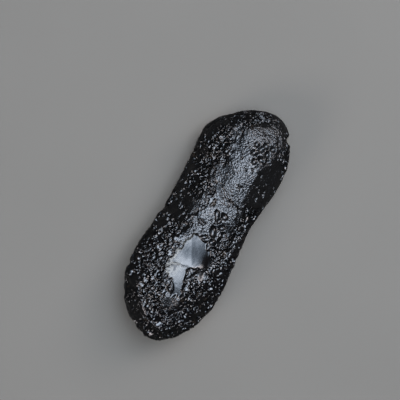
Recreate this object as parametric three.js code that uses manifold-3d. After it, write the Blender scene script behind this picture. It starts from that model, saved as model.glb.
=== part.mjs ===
// Tektite: one piece of natural black glass in the shape of a long, mild dumbbell.
// The skin is lumpy and pitted all over, apart from a smoother band along the crest, which
// ends in a ledge, and a bare window beside a scoop on the fat lobe. Two small flats under the
// lobes carry it.
//
// Millimetres, +Z up. +X points to the slim lobe. The origin lies on the surface that the
// stone rests on, under the middle of the stone's box.

import * as THREE from 'three';
import { ConvexHull } from 'three/addons/math/ConvexHull.js';
import { mergeVertices } from 'three/addons/utils/BufferGeometryUtils.js';
import Module from 'manifold-3d';

const wasm = await Module();
wasm.setup();

// --- Driving dimensions -------------------------------------------------------------------

const LENGTH = 78; // tip to tip
const WIDTH = 30.3; // across the fat lobe
const HEIGHT = 24.8; // of the fat lobe, before its flat is worn off
const FLAT_DEPTH = 0.3; // taken off under each lobe by its resting flat

// Stations stand at equal steps of angle along the axis, from the fat tip to the slim tip.
// They are shares of the half width or half height, and a smooth curve runs near them.
const CENTRE_SHIFT = [-0.08, -0.08, -0.05, -0.01, 0.01, 0.01, 0.02, 0.02, 0.02, 0.04, -0.03, -0.16, -0.19];
const WIDTH_FULLNESS = [1.2, 1.21, 1.25, 1.24, 1.15, 0.99, 0.86, 0.91, 1.1, 1.31, 1.36, 1.3, 1.29];
const HEIGHT_FULLNESS = [1.2, 1.21, 1.25, 1.25, 1.17, 0.98, 0.8, 0.86, 1.09, 1.25, 1.27, 1.25, 1.22];
const CREST_LEAN = [
  -0.02, -0.02, -0.02, -0.02, -0.02, -0.03, -0.04, -0.06, -0.08, -0.09, -0.09, -0.08, -0.08,
];

// Broad lumps are plane waves that run in all directions.
const LUMP_WAVES = 10;
const LONGEST_LUMP = 30;
const SHORTEST_LUMP = 9;
const LUMP_STEEPNESS = 0.012; // height of a lump as a share of its wavelength
const LUMP_SHARE_AT_SIDES = 0.3; // lumps are lower where they would move the outline
const PHASE_STEP = 1.6;

// Flat places worn on the sides: centre along X, how far the flat runs, where it faces, its
// distance from the middle and how softly its border is rounded. The last one cuts off the
// slim lobe's shoulder.
const SIDE_FLATS = [
  { x: 19, reach: 13, facing: [0, -0.76, 0.65], distance: 11.9, softness: 0.5 },
  { x: -17, reach: 12, facing: [0, -0.86, 0.5], distance: 13.4, softness: 0.6 },
  { x: 8, reach: 14, facing: [0, 0.82, 0.57], distance: 11.2, softness: 0.6 },
  { x: 33, reach: 12, facing: [0.72, 0.69, 0.05], distance: 30.6, softness: 0.25 },
];

// The smoother band along the crest ends on its right in a ledge with a sharp edge. Each row
// is a station of the edge: x, y, the slope just inside it, and the run over which it fades.
const LEDGE = [
  [-6, -5, 0, 4],
  [-2, -6, 0.2, 4],
  [1, -8.3, 0.4, 4],
  [4, -7.3, 0.4, 3.8],
  [7, -6.4, 0.4, 3],
  [12, -6.1, 0.4, 2.3],
  [19, -6.1, 0.4, 2.2],
  [22, -6.4, 0.38, 2.2],
  [25, -7.4, 0.3, 2.4],
  [28, -7.9, 0.2, 2.6],
  [31, -7, 0.1, 2.6],
  [34.5, -3, 0, 2.6],
];

// Pits that stand out, as [x, y] on the upper side with one radius for each group. The last
// group nicks the outline with pits that are long in the vertical.
const PIT_GROUPS = [
  {
    radius: 1.05,
    places: [[25.8, -2.4], [27.3, -4.3], [25, -5.4], [29.3, -4.2], [27.5, -6.6], [29.6, -5.9]],
  },
  {
    radius: 1.15,
    places: [[4.7, -1.5], [5.5, -3.5], [3.3, -3.7], [-2.6, -6.4], [1.5, -5], [-0.2, -7.7]],
  },
  { radius: 1.45, places: [[-1, -3.2], [-3.9, -5], [-12.8, -6.4], [-15.2, -4.4], [-17.2, -6.6]] },
  { radius: 0.9, places: [[-3.5, -1.2], [-19.1, 0.4], [-15.7, -1.9], [-24.4, 5.6], [-24.3, 3.4]] },
  {
    radius: 1.4,
    stretch: 2.5,
    bearing: Math.PI / 2,
    places: [[34.6, -10.6], [-22.1, 15.4], [-37.2, 4.6], [-2.1, 13.9], [-38.3, 0.6]],
  },
];
const GROUP_PIT_DEPTH = 0.55; // as a share of the radius

// The scoop is a large smooth hollow beside the window.
const SCOOP = { x: -9.2, y: -4.9, halfLength: 3.2, halfWidth: 3.6, depth: 1.1 };

// Bare places that the scattered pits keep off, as [x, y, half length, half width].
const BARE_PLACES = [
  [-12, -1, 10, 5.5],
  [14, -3, 17, 5.2],
  [19, -11.5, 9, 3.6],
];

// Scattered pits cover the rest, in families of overlapping pits that stand at the turns of
// a spiral along the stone.
const PIT_FAMILIES = 260;
const FAMILY_SIZE = 3;
const SMALLEST_PIT = 1.05;
const LARGEST_PIT = 2.1;
const YOUNGER_PIT = 0.75; // radius of each next pit of a family as a share of the one before
const OVERLAP = 0.8; // spacing of neighbours as a share of their radii together
const SHALLOWEST = 0.38; // depth as a share of the radius
const DEEPEST = 0.62;
const LONGEST_STRETCH = 1.35; // of a pit's mouth, along one way
const SPIRAL_JITTER = 0.35; // as a share of the spacing of the turns
const FLAT_MARGIN = 0.5; // pits keep this far above the resting flats

// Facets of the solid: rings of corners in each pit, as [share of the radius, corners], and
// the spacing of the corners elsewhere.
const LARGE_PIT_RINGS = [[0.6, 6], [1, 9]];
const SMALL_PIT_RINGS = [[1, 7]];
const SCOOP_RINGS = [[0.3, 6], [0.65, 10], [1, 14]];
const LARGE_PIT_RADIUS = 1.3;
const LEDGE_SPACING = 1.2;
const CLOSEST_CORNERS = 0.5;
const SKIN_SPACING = 1.4;
const SKIN_CANDIDATES = 9000;
const MERGE_DISTANCE = 1e-4;
const SEAT_SAMPLES = 6000; // places at which the underside's lowest points are looked for
const AIMING_STEPS = 4; // of the search for the direction that lies under a place

const HALF_LENGTH = LENGTH / 2;
const HALF_WIDTH = WIDTH / 2;
const HALF_HEIGHT = HEIGHT / 2;
const HALF_SIZE = new THREE.Vector3(HALF_LENGTH, HALF_WIDTH, HALF_HEIGHT);
const ALONG = new THREE.Vector3(1, 0, 0);
const GOLDEN_ANGLE = Math.PI * (3 - Math.sqrt(5));
const MEAN_RADIUS = (HALF_WIDTH + HALF_HEIGHT) / 2;

// --- Helpers ------------------------------------------------------------------------------

// A repeatable number from 0 to 1 for each count and purpose.
function scatter(count, purpose) {
  const value = Math.sin(count * 12.9898 + purpose * 78.233) * 43758.5453;
  return value - Math.floor(value);
}

// Direction number count of total on a spiral that covers a ball evenly, its axis along X.
function spiralDirection(count, total) {
  const along = 1 - (2 * count + 1) / total;
  const around = count * GOLDEN_ANGLE;
  const girth = Math.sqrt(1 - along * along);
  return new THREE.Vector3(along, girth * Math.cos(around), girth * Math.sin(around));
}

// All directions of such a spiral.
function spiralDirections(total) {
  return Array.from({ length: total }, (_, count) => spiralDirection(count, total));
}

// Value of a station list at an angle from 0 (fat tip) to PI (slim tip): a uniform cubic
// B-spline whose stations are mirrored past both ends, so that the tips stay round.
function stationValue(stations, angle) {
  const last = stations.length - 1;
  const place = (angle / Math.PI) * last;
  const first = Math.min(Math.floor(place), last - 1);
  const t = place - first;
  const weights = [
    (1 - t) ** 3 / 6,
    (3 * t ** 3 - 6 * t ** 2 + 4) / 6,
    (-3 * t ** 3 + 3 * t ** 2 + 3 * t + 1) / 6,
    t ** 3 / 6,
  ];
  return weights.reduce((sum, weight, step) => {
    const index = Math.abs(first - 1 + step);
    const mirrored = index > last ? 2 * last - index : index;
    return sum + weight * stations[mirrored];
  }, 0);
}

// --- The stone's form ---------------------------------------------------------------------

// The section's measures at an angle along the axis.
function sectionAt(angle) {
  const girth = Math.sin(angle);
  return {
    centre: HALF_WIDTH * stationValue(CENTRE_SHIFT, angle),
    halfWidth: girth * HALF_WIDTH * stationValue(WIDTH_FULLNESS, angle),
    halfHeight: girth * HALF_HEIGHT * stationValue(HEIGHT_FULLNESS, angle),
    lean: girth * HALF_WIDTH * stationValue(CREST_LEAN, angle),
  };
}

// Angle along the axis of a unit direction or of a share of the half length.
function angleAlong(share) {
  return Math.acos(THREE.MathUtils.clamp(-share, -1, 1));
}

// The smooth dumbbell: ellipses across the axis, sheared so that the crest leans sideways
// while the outline seen from above keeps its width.
function dumbbellPoint(direction) {
  const { centre, halfWidth, halfHeight, lean } = sectionAt(angleAlong(direction.x));
  const roll = Math.atan2(direction.z, direction.y);
  const reach = Math.sqrt(halfWidth * halfWidth - lean * lean);
  return new THREE.Vector3(
    HALF_LENGTH * direction.x,
    centre + reach * Math.cos(roll) + lean * Math.sin(roll),
    halfHeight * Math.sin(roll),
  );
}

// The way the skin faces at a direction, as on an ellipsoid of the stone's size.
function outward(direction) {
  return new THREE.Vector3(
    direction.x / HALF_LENGTH,
    direction.y / HALF_WIDTH,
    direction.z / HALF_HEIGHT,
  ).normalize();
}

// Height of the broad lumps at a point.
function lumpHeight(point) {
  let height = 0;
  for (let wave = 0; wave < LUMP_WAVES; wave += 1) {
    const step = wave / (LUMP_WAVES - 1);
    const wavelength = LONGEST_LUMP * (SHORTEST_LUMP / LONGEST_LUMP) ** step;
    const travel = spiralDirection(wave, LUMP_WAVES).dot(point) / wavelength;
    height += LUMP_STEEPNESS * wavelength * Math.sin(2 * Math.PI * travel + wave * PHASE_STEP);
  }
  return height;
}

// Presses a point in towards each side flat that it stands out of.
function flattenSides(point) {
  for (const { x, reach, facing, distance, softness } of SIDE_FLATS) {
    const normal = new THREE.Vector3(...facing);
    const proud = point.dot(normal) - distance;
    const pressed = softness * Math.log1p(Math.exp(proud / softness));
    const share = Math.exp(-(((point.x - x) / reach) ** 4));
    point.addScaledVector(normal, -share * pressed);
  }
  return point;
}

// The lumpy skin at a direction, before the stone is set down.
function lumpyPoint(direction) {
  const point = dumbbellPoint(direction);
  const up = direction.z * direction.z;
  const share = LUMP_SHARE_AT_SIDES + (1 - LUMP_SHARE_AT_SIDES) * up;
  point.addScaledVector(outward(direction), share * lumpHeight(point));
  return flattenSides(point);
}

// Lowest of the points for which keep is true.
function lowest(points, keep) {
  return points.filter(keep).reduce((low, point) => (point.z < low.z ? point : low));
}

// The rise and slope of the line under both lobes, FLAT_DEPTH above their lowest points.
function seatUnder(points) {
  const fat = lowest(points, (point) => point.x < 0);
  const slim = lowest(points, (point) => point.x > 0);
  const slope = (slim.z - fat.z) / (slim.x - fat.x);
  return { slope, rise: fat.z - slope * fat.x + FLAT_DEPTH };
}

// --- Setting down -------------------------------------------------------------------------

const seat = seatUnder(spiralDirections(SEAT_SAMPLES).map(lumpyPoint));

// The lumpy skin at a direction, with the stone set down on the floor.
function skinPoint(direction) {
  const point = lumpyPoint(direction);
  point.z -= seat.rise + seat.slope * point.x;
  return point;
}

// The direction of the upper skin over a place, or of the outline beside it.
function directionOver(x, y) {
  const angle = angleAlong(x / HALF_LENGTH);
  const { centre, halfWidth, lean } = sectionAt(angle);
  const across = THREE.MathUtils.clamp((y - centre) / halfWidth, -1, 1);
  const roll = Math.asin(lean / halfWidth) + Math.acos(across);
  const girth = Math.sin(angle);
  return new THREE.Vector3(-Math.cos(angle), girth * Math.cos(roll), girth * Math.sin(roll));
}

// The direction in which the skin lies over a target near a known direction.
function directionTowards(target, near) {
  const axis = outward(near);
  let direction = near;
  for (let step = 0; step < AIMING_STEPS; step += 1) {
    const miss = target.clone().sub(skinPoint(direction)).projectOnPlane(axis);
    direction = direction.clone().multiply(HALF_SIZE).add(miss).divide(HALF_SIZE).normalize();
  }
  return direction;
}

// --- Ledge --------------------------------------------------------------------------------

// The ledge's edge, slope and run at a place along the stone, or nothing beyond its ends.
function ledgeAt(x) {
  const next = LEDGE.findIndex((station) => station[0] > x);
  if (next < 1) return null;
  const [before, after] = [LEDGE[next - 1], LEDGE[next]];
  const share = (x - before[0]) / (after[0] - before[0]);
  const [, edge, slope, run] = before.map((value, column) => (
    THREE.MathUtils.lerp(value, after[column], share)
  ));
  return { edge, slope, run };
}

// How far the ledge lies below a point of the smooth skin.
function ledgeDepth(point) {
  const ledge = ledgeAt(point.x);
  if (!ledge || point.z < HALF_HEIGHT) return 0;
  const inside = Math.max(0, point.y - ledge.edge);
  return ledge.slope * inside * Math.exp(-inside / ledge.run);
}

// Directions of the ledge's corners: a row along its edge and a row inside it.
function ledgeCornerDirections() {
  const corners = [];
  for (let x = LEDGE[0][0]; ledgeAt(x); x += LEDGE_SPACING) {
    for (const y of [ledgeAt(x).edge, ledgeAt(x).edge + LEDGE_SPACING]) {
      const near = directionOver(x, y);
      corners.push(directionTowards(new THREE.Vector3(x, y, skinPoint(near).z), near));
    }
  }
  return corners;
}

// --- Pits ---------------------------------------------------------------------------------

// A dish sunk into the skin. Its mouth is an ellipse whose long side lies at a bearing.
class Pit {
  constructor(direction, halfLength, halfWidth, depth, bearing, rings) {
    this.direction = direction;
    this.centre = skinPoint(direction);
    this.axis = outward(direction);
    this.longWay = ALONG.clone().projectOnPlane(this.axis).normalize().applyAxisAngle(this.axis, bearing);
    this.shortWay = this.axis.clone().cross(this.longWay);
    this.halfLength = halfLength;
    this.halfWidth = halfWidth;
    this.depth = depth;
    this.rings = rings;
  }

  // A place on the tangent plane, at a share of the mouth's size and a turn around it.
  placeAt(share, turn) {
    return this.centre.clone()
      .addScaledVector(this.longWay, share * this.halfLength * Math.cos(turn))
      .addScaledVector(this.shortWay, share * this.halfWidth * Math.sin(turn));
  }

  // How far the dish lies below a point of the skin, or 0 outside its mouth.
  depthUnder(point) {
    const away = point.clone().sub(this.centre);
    if (away.lengthSq() > (2 * this.halfLength) ** 2) return 0;
    const along = away.dot(this.longWay) / this.halfLength;
    const across = away.dot(this.shortWay) / this.halfWidth;
    return this.depth * Math.max(0, 1 - along * along - across * across);
  }

  // Directions of the dish's corners: its lowest point and its rings.
  cornerDirections() {
    const corners = [this.direction];
    for (const [share, count] of this.rings) {
      for (let corner = 0; corner < count; corner += 1) {
        const turn = ((corner + share) * 2 * Math.PI) / count;
        corners.push(directionTowards(this.placeAt(share, turn), this.direction));
      }
    }
    return corners;
  }
}

// A round or stretched pit with the rings that its size needs.
function roundPit(direction, radius, stretch, depth, bearing) {
  const rings = radius > LARGE_PIT_RADIUS ? LARGE_PIT_RINGS : SMALL_PIT_RINGS;
  return new Pit(direction, radius * stretch, radius, depth, bearing, rings);
}

// The pits that stand out.
function groupPits() {
  return PIT_GROUPS.flatMap(({ radius, stretch = 1, bearing = 0, places }) => places.map(([x, y]) => (
    roundPit(directionOver(x, y), radius, stretch, GROUP_PIT_DEPTH * radius, bearing)
  )));
}

// The scoop beside the window.
function scoopPit() {
  const { x, y, halfLength, halfWidth, depth } = SCOOP;
  return new Pit(directionOver(x, y), halfLength, halfWidth, depth, 0, SCOOP_RINGS);
}

// Whether a point of the skin lies in a bare place or near a resting flat.
function isBare(point) {
  if (point.z < FLAT_DEPTH + FLAT_MARGIN) return true;
  return point.z > HALF_HEIGHT && BARE_PLACES.some(([x, y, halfLength, halfWidth]) => (
    Math.hypot((point.x - x) / halfLength, (point.y - y) / halfWidth) < 1
  ));
}

// The pits scattered over the rest of the skin.
function scatteredPits() {
  const pits = [];
  for (let family = 0; family < PIT_FAMILIES; family += 1) {
    const jitter = SPIRAL_JITTER * (scatter(family, 1) - 0.5);
    let direction = spiralDirection(family + jitter, PIT_FAMILIES);
    let radius = THREE.MathUtils.lerp(SMALLEST_PIT, LARGEST_PIT, scatter(family, 2));
    const members = 1 + Math.floor(FAMILY_SIZE * scatter(family, 3));
    for (let member = 0; member < members; member += 1) {
      const number = family * FAMILY_SIZE + member;
      const depth = radius * THREE.MathUtils.lerp(SHALLOWEST, DEEPEST, scatter(number, 4));
      const stretch = THREE.MathUtils.lerp(1, LONGEST_STRETCH, scatter(number, 5));
      const pit = roundPit(direction, radius, stretch, depth, 2 * Math.PI * scatter(number, 6));
      if (!isBare(pit.centre)) pits.push(pit);
      const share = OVERLAP * (1 + YOUNGER_PIT);
      const next = pit.placeAt(share, 2 * Math.PI * scatter(number, 7));
      direction = directionTowards(next, direction);
      radius *= YOUNGER_PIT;
    }
  }
  return pits;
}

// --- Skin ---------------------------------------------------------------------------------

// Directions of the skin's corners: those of the pits, then of the ledge, then even ones.
function cornerDirections(pits) {
  const directions = [];
  const points = [];
  const addIfClear = (direction, spacing) => {
    const point = skinPoint(direction);
    if (points.some((other) => other.distanceToSquared(point) < spacing * spacing)) return;
    directions.push(direction);
    points.push(point);
  };
  for (const pit of pits) {
    pit.cornerDirections().forEach((direction) => addIfClear(direction, CLOSEST_CORNERS));
  }
  ledgeCornerDirections().forEach((direction) => addIfClear(direction, CLOSEST_CORNERS));
  spiralDirections(SKIN_CANDIDATES).forEach((direction) => addIfClear(direction, SKIN_SPACING));
  return directions;
}

// A direction's place on a ball, so laid out that small shapes on the stone keep their form
// there: the isometric latitude of a spheroid of the stone's length and mean girth.
function placeOnBall(direction) {
  const steepness = (MEAN_RADIUS / HALF_LENGTH) * Math.tan(Math.asin(direction.x));
  const sine = steepness / Math.hypot(1, steepness);
  const stretch = Math.sqrt((HALF_LENGTH / MEAN_RADIUS) ** 2 - 1);
  const latitude = Math.atanh(sine) + stretch * Math.atan(stretch * sine);
  const roll = Math.atan2(direction.z, direction.y);
  const girth = 1 / Math.cosh(latitude);
  return new THREE.Vector3(Math.tanh(latitude), girth * Math.cos(roll), girth * Math.sin(roll));
}

// Corner numbers of the triangles between directions, taken from the hull of their places
// on the ball, where it joins each corner to its nearest neighbours.
function trianglesBetween(directions) {
  const places = directions.map(placeOnBall);
  const numbers = new Map(places.map((place, number) => [place, number]));
  return new ConvexHull().setFromPoints(places).faces.flatMap(({ edge }) => (
    [edge, edge.next, edge.prev].map((side) => numbers.get(side.head().point))
  ));
}

// The pitted skin as a closed geometry.
function skinGeometry() {
  const pits = [scoopPit(), ...groupPits(), ...scatteredPits()];
  const directions = cornerDirections(pits);
  const points = directions.map((direction) => {
    const point = skinPoint(direction);
    const depth = Math.max(...pits.map((pit) => pit.depthUnder(point))) + ledgeDepth(point);
    return point.addScaledVector(outward(direction), -depth);
  });
  const geometry = new THREE.BufferGeometry().setFromPoints(points);
  geometry.setIndex(trianglesBetween(directions));
  return geometry;
}

// --- Solids -------------------------------------------------------------------------------

// A closed geometry as a solid that can be cut.
function solidOf(geometry) {
  geometry.deleteAttribute('normal');
  geometry.deleteAttribute('uv');
  const merged = mergeVertices(geometry, MERGE_DISTANCE);
  return new wasm.Manifold(new wasm.Mesh({
    numProp: 3,
    vertProperties: Float32Array.from(merged.attributes.position.array),
    triVerts: Uint32Array.from(merged.index.array),
  }));
}

// A solid as a geometry with flat facets.
function geometryOf(solid) {
  const { vertProperties, triVerts } = solid.getMesh();
  const geometry = new THREE.BufferGeometry();
  geometry.setAttribute('position', new THREE.BufferAttribute(vertProperties, 3));
  geometry.setIndex(new THREE.BufferAttribute(triVerts, 1));
  geometry.computeVertexNormals();
  return geometry;
}

// Everything below the floor.
function floorGeometry() {
  return new THREE.BoxGeometry(2 * LENGTH, 2 * WIDTH, HEIGHT).translate(0, 0, -HALF_HEIGHT);
}

const stone = solidOf(skinGeometry()).subtract(solidOf(floorGeometry()));
const stoneGeometry = geometryOf(stone);
stoneGeometry.computeBoundingBox();
const middle = stoneGeometry.boundingBox.getCenter(new THREE.Vector3());
stoneGeometry.translate(-middle.x, -middle.y, 0);

const blackGlass = new THREE.MeshStandardMaterial({ color: 0x0e0f12, roughness: 0.3, metalness: 0 });
const tektite = new THREE.Mesh(stoneGeometry, blackGlass);
tektite.name = 'tektite';

const part = new THREE.Group();
part.add(tektite);

export default part;
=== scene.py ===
"""Tektite: one drop of natural black glass in the shape of a long, mild dumbbell.

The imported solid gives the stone's place, size and main form. This script lays a finer skin of
the same form over it: cups nearly all over, a satin crest that ends in a ledge, a bare glossy
window with a hollow at its side, and a dull, worn tip on the slim lobe. The stone is shaped in
millimetres, +X towards its slim lobe and +Z up from the floor, and it is put into the scene in
metres.
"""

import logging
import math
from dataclasses import astuple, dataclass, field
from enum import Enum, IntEnum
from typing import Sequence, Union

import bpy
import numpy as np
from mathutils import Matrix, Vector


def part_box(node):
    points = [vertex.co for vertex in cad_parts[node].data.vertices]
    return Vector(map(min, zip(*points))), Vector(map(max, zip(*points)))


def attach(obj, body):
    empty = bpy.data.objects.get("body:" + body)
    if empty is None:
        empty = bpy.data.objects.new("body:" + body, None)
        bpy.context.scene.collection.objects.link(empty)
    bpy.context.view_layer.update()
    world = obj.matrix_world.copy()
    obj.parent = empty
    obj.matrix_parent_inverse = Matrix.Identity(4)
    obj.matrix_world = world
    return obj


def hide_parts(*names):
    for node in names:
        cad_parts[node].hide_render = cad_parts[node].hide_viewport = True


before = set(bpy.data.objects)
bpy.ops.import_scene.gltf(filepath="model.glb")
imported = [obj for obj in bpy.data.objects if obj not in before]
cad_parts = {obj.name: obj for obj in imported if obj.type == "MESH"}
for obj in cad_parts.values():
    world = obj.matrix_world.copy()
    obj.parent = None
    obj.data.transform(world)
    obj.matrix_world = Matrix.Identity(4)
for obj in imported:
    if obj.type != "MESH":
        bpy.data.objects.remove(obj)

Array = np.ndarray
Colour = tuple[float, float, float, float]
Place = tuple[float, float]  # seen from above
Span = tuple[float, float]  # where a smooth step begins, and where it ends

METRES = 0.001  # one millimetre
NODE = "tektite"
GOLDEN_ANGLE = math.pi * (3 - math.sqrt(5))
SLIM_LOBE: Span = (-8.0, 4.0)  # along the stone, from the fat lobe's skin to the slim lobe's
LOG = logging.getLogger("tektite")


# --- Helpers --------------------------------------------------------------------------------


class Draw(IntEnum):
    """What a repeatable random number is drawn for."""

    SPOT = 1
    RADIUS = 2
    FAMILY_SIZE = 3
    DEPTH = 4
    STRETCH = 5
    BEARING = 6
    TURN = 7
    KEEPING_A_CUP = 11
    KEEPING_A_DISH = 12


# Angle of the sine for one count and for one kind of draw, and its height, which is so large
# that the fractions of neighbours have nothing in common.
COUNT_ANGLE = 12.9898
DRAW_ANGLE = 78.233
SINE_HEIGHT = 43758.5453


def scatter(counts: Array, draw: Draw) -> Array:
    """A repeatable number from 0 to 1 for each count: the fraction of a large sine."""
    values = np.sin(counts * COUNT_ANGLE + draw * DRAW_ANGLE) * SINE_HEIGHT
    return values - np.floor(values)


def smooth_step(values: Array, low: float, high: float) -> Array:
    """Rises from 0 at low to 1 at high along 3t^2 - 2t^3."""
    t = np.clip((values - low) / (high - low), 0, 1)
    return t * t * (3 - 2 * t)


def unit(vectors: Array) -> Array:
    """The vectors, each divided by its length."""
    return vectors / np.linalg.norm(vectors, axis=-1, keepdims=True)


def dots(first: Array, second: Array) -> Array:
    """Dot products of the last axes."""
    return np.einsum("...i,...i->...", first, second)


def spiral_directions(counts: Array, total: int) -> Array:
    """Directions that cover a ball evenly.

    Their share along X falls from 1 to -1 in equal steps, and each is turned round X by the
    golden angle from the one before.

    Args:
        counts: Number of each direction, whole or between two.
        total: How many directions cover the ball.

    Returns:
        Unit vectors, one for each count.
    """
    along = np.clip(1 - (2 * counts + 1) / total, -1, 1)
    around = counts * GOLDEN_ANGLE
    girth = np.sqrt(1 - along * along)
    return np.stack([along, girth * np.cos(around), girth * np.sin(around)], axis=-1)


# --- The stone's form -----------------------------------------------------------------------


@dataclass(frozen=True)
class Waves:
    """Lumps that are the sum of plane waves running in all directions."""

    count: int
    longest: float
    shortest: float
    steepness: float  # height of a wave as a share of its length
    phase_step: float

    def height(self, points: Array) -> Array:
        """Height of the lumps.

        Each wave is steepness * length * sin(2 pi * travel / length + number * phase step), with
        lengths that fall from longest to shortest in equal ratios.

        Args:
            points: Places in millimetres.

        Returns:
            The summed height at each place.
        """
        numbers = np.arange(self.count)
        ratio = self.shortest / self.longest
        lengths = self.longest * ratio ** (numbers / (self.count - 1))
        travel = points @ spiral_directions(numbers, self.count).T / lengths
        waves = np.sin(2 * np.pi * travel + numbers * self.phase_step)
        return waves @ (self.steepness * lengths)

    def bent(self, points: Array) -> Array:
        """The points, moved along each axis by the height of the lumps with the axes turned."""
        return points + np.stack([self.height(np.roll(points, turn, axis=1)) for turn in range(3)], axis=1)


@dataclass(frozen=True)
class SideFlat:
    """A flat place worn on the side of the stone."""

    x: float
    reach: float  # how far it runs along the stone to each side of x
    facing: tuple[float, float, float]
    distance: float  # from the middle of the stone
    softness: float  # of its border

    def press(self, points: Array) -> Array:
        """Pushes points in along facing by softness * log(1 + exp(how proud / softness)).

        Args:
            points: Places on the skin.

        Returns:
            The pushed places. The push fades along the stone as exp(-((x - centre) / reach)^4).
        """
        facing = np.array(self.facing)
        pressed = self.softness * np.logaddexp(0, (points @ facing - self.distance) / self.softness)
        share = np.exp(-(((points[..., 0] - self.x) / self.reach) ** 4))
        return points - (share * pressed)[..., None] * facing


@dataclass(frozen=True)
class Form:
    """The smooth stone: a lumpy dumbbell with flat sides, set down on two small flats.

    Stations stand at equal steps of angle along the axis, from the fat tip to the slim tip, as
    shares of the half width or half height, and a smooth curve runs near them.
    """

    length: float = 78.0
    width: float = 30.3
    height: float = 24.8
    flat_depth: float = 0.3  # how much of each lobe the resting flats cut off
    centre_shift: Sequence[float] = (
        -0.08, -0.08, -0.05, -0.01, 0.01, 0.01, 0.02, 0.02, 0.02, 0.04, -0.03, -0.16, -0.19,
    )
    width_fullness: Sequence[float] = (
        1.2, 1.21, 1.25, 1.24, 1.15, 0.99, 0.86, 0.91, 1.1, 1.31, 1.36, 1.3, 1.29,
    )
    height_fullness: Sequence[float] = (
        1.2, 1.21, 1.25, 1.25, 1.17, 0.98, 0.8, 0.86, 1.09, 1.25, 1.27, 1.25, 1.22,
    )
    crest_lean: Sequence[float] = (
        -0.02, -0.02, -0.02, -0.02, -0.02, -0.03, -0.04, -0.06, -0.08, -0.09, -0.09, -0.08, -0.08,
    )
    lumps: Waves = Waves(count=10, longest=30, shortest=9, steepness=0.012, phase_step=1.6)
    lump_share_at_sides: float = 0.3
    side_flats: Sequence[SideFlat] = (
        SideFlat(19, 13, (0, -0.76, 0.65), 11.9, 0.5),
        SideFlat(-17, 12, (0, -0.86, 0.5), 13.4, 0.6),
        SideFlat(8, 14, (0, 0.82, 0.57), 11.2, 0.6),
        SideFlat(33, 12, (0.72, 0.69, 0.05), 30.6, 0.25),
    )
    seat_samples: int = 6000  # places among which the lowest ones are looked for
    aiming_steps: int = 4
    # The line that the stone rests on: z = rise + slope * x, before it is set down.
    slope: float = field(init=False, default=0.0)
    rise: float = field(init=False, default=0.0)

    def __post_init__(self) -> None:
        """Finds the line under both lobes, flat_depth above their lowest points."""
        points = self.lumpy(spiral_directions(np.arange(self.seat_samples), self.seat_samples))
        fat, slim = (
            half[np.argmin(half[:, 2])] for half in (points[points[:, 0] < 0], points[points[:, 0] > 0])
        )
        slope = (slim[2] - fat[2]) / (slim[0] - fat[0])
        object.__setattr__(self, "slope", slope)
        object.__setattr__(self, "rise", fat[2] - slope * fat[0] + self.flat_depth)

    @property
    def half_size(self) -> Array:
        """Half of the length, width and height."""
        return np.array([self.length, self.width, self.height]) / 2

    def station_values(self, stations: Sequence[float], angles: Array) -> Array:
        """A uniform cubic B-spline along the stations, which are mirrored past both tips.

        Args:
            stations: Values at equal steps of angle.
            angles: Angles from 0 at the fat tip to pi at the slim tip.

        Returns:
            The spline's value at each angle.
        """
        last = len(stations) - 1
        place = angles / np.pi * last
        first = np.minimum(np.floor(place).astype(int), last - 1)
        t = place - first
        weights = (
            (1 - t) ** 3 / 6,
            (3 * t**3 - 6 * t**2 + 4) / 6,
            (-3 * t**3 + 3 * t**2 + 3 * t + 1) / 6,
            t**3 / 6,
        )
        values = np.array(stations)
        numbers = [last - abs(last - abs(first - 1 + step)) for step in range(len(weights))]
        return sum(weight * values[number] for weight, number in zip(weights, numbers))

    def section(self, angles: Array) -> tuple[Array, Array, Array, Array]:
        """The sections across the axis, whose size grows with the sine of the angle.

        Args:
            angles: Angles from 0 at the fat tip to pi at the slim tip.

        Returns:
            Centre, half width, half height and lean of the section at each angle.
        """
        _, half_width, half_height = self.half_size
        girth = np.sin(angles)
        return (
            half_width * self.station_values(self.centre_shift, angles),
            girth * half_width * self.station_values(self.width_fullness, angles),
            girth * half_height * self.station_values(self.height_fullness, angles),
            girth * half_width * self.station_values(self.crest_lean, angles),
        )

    def dumbbell(self, directions: Array) -> Array:
        """Ellipses across the axis, sheared so that the crest leans.

        With the angle along the axis from the direction's X and the roll round it from Y and Z,
        y = centre + sqrt(width^2 - lean^2) cos(roll) + lean sin(roll) and z = height sin(roll).

        Args:
            directions: Unit vectors from the middle of the stone.

        Returns:
            The place on the smooth dumbbell at each direction.
        """
        centre, width, height, lean = self.section(np.arccos(np.clip(-directions[..., 0], -1, 1)))
        roll = np.arctan2(directions[..., 2], directions[..., 1])
        reach = np.sqrt(width * width - lean * lean)
        return np.stack([
            self.half_size[0] * directions[..., 0],
            centre + reach * np.cos(roll) + lean * np.sin(roll),
            height * np.sin(roll),
        ], axis=-1)

    def outward(self, directions: Array) -> Array:
        """The way the skin faces at each direction, as on an ellipsoid of the stone's size."""
        return unit(directions / self.half_size)

    def lumpy(self, directions: Array) -> Array:
        """The dumbbell with its lumps, which are lower at the sides, and its side flats.

        Args:
            directions: Unit vectors from the middle of the stone.

        Returns:
            The place on the skin at each direction, before the stone is set down.
        """
        points = self.dumbbell(directions)
        up = directions[..., 2] ** 2
        share = self.lump_share_at_sides + (1 - self.lump_share_at_sides) * up
        points = points + (share * self.lumps.height(points))[..., None] * self.outward(directions)
        for flat in self.side_flats:
            points = flat.press(points)
        return points

    def skin(self, directions: Array) -> Array:
        """The lumpy skin with the stone set down: z falls by rise + slope * x.

        Args:
            directions: Unit vectors from the middle of the stone.

        Returns:
            The place on the smooth skin at each direction.
        """
        points = self.lumpy(directions)
        points[..., 2] -= self.rise + self.slope * points[..., 0]
        return points

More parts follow.
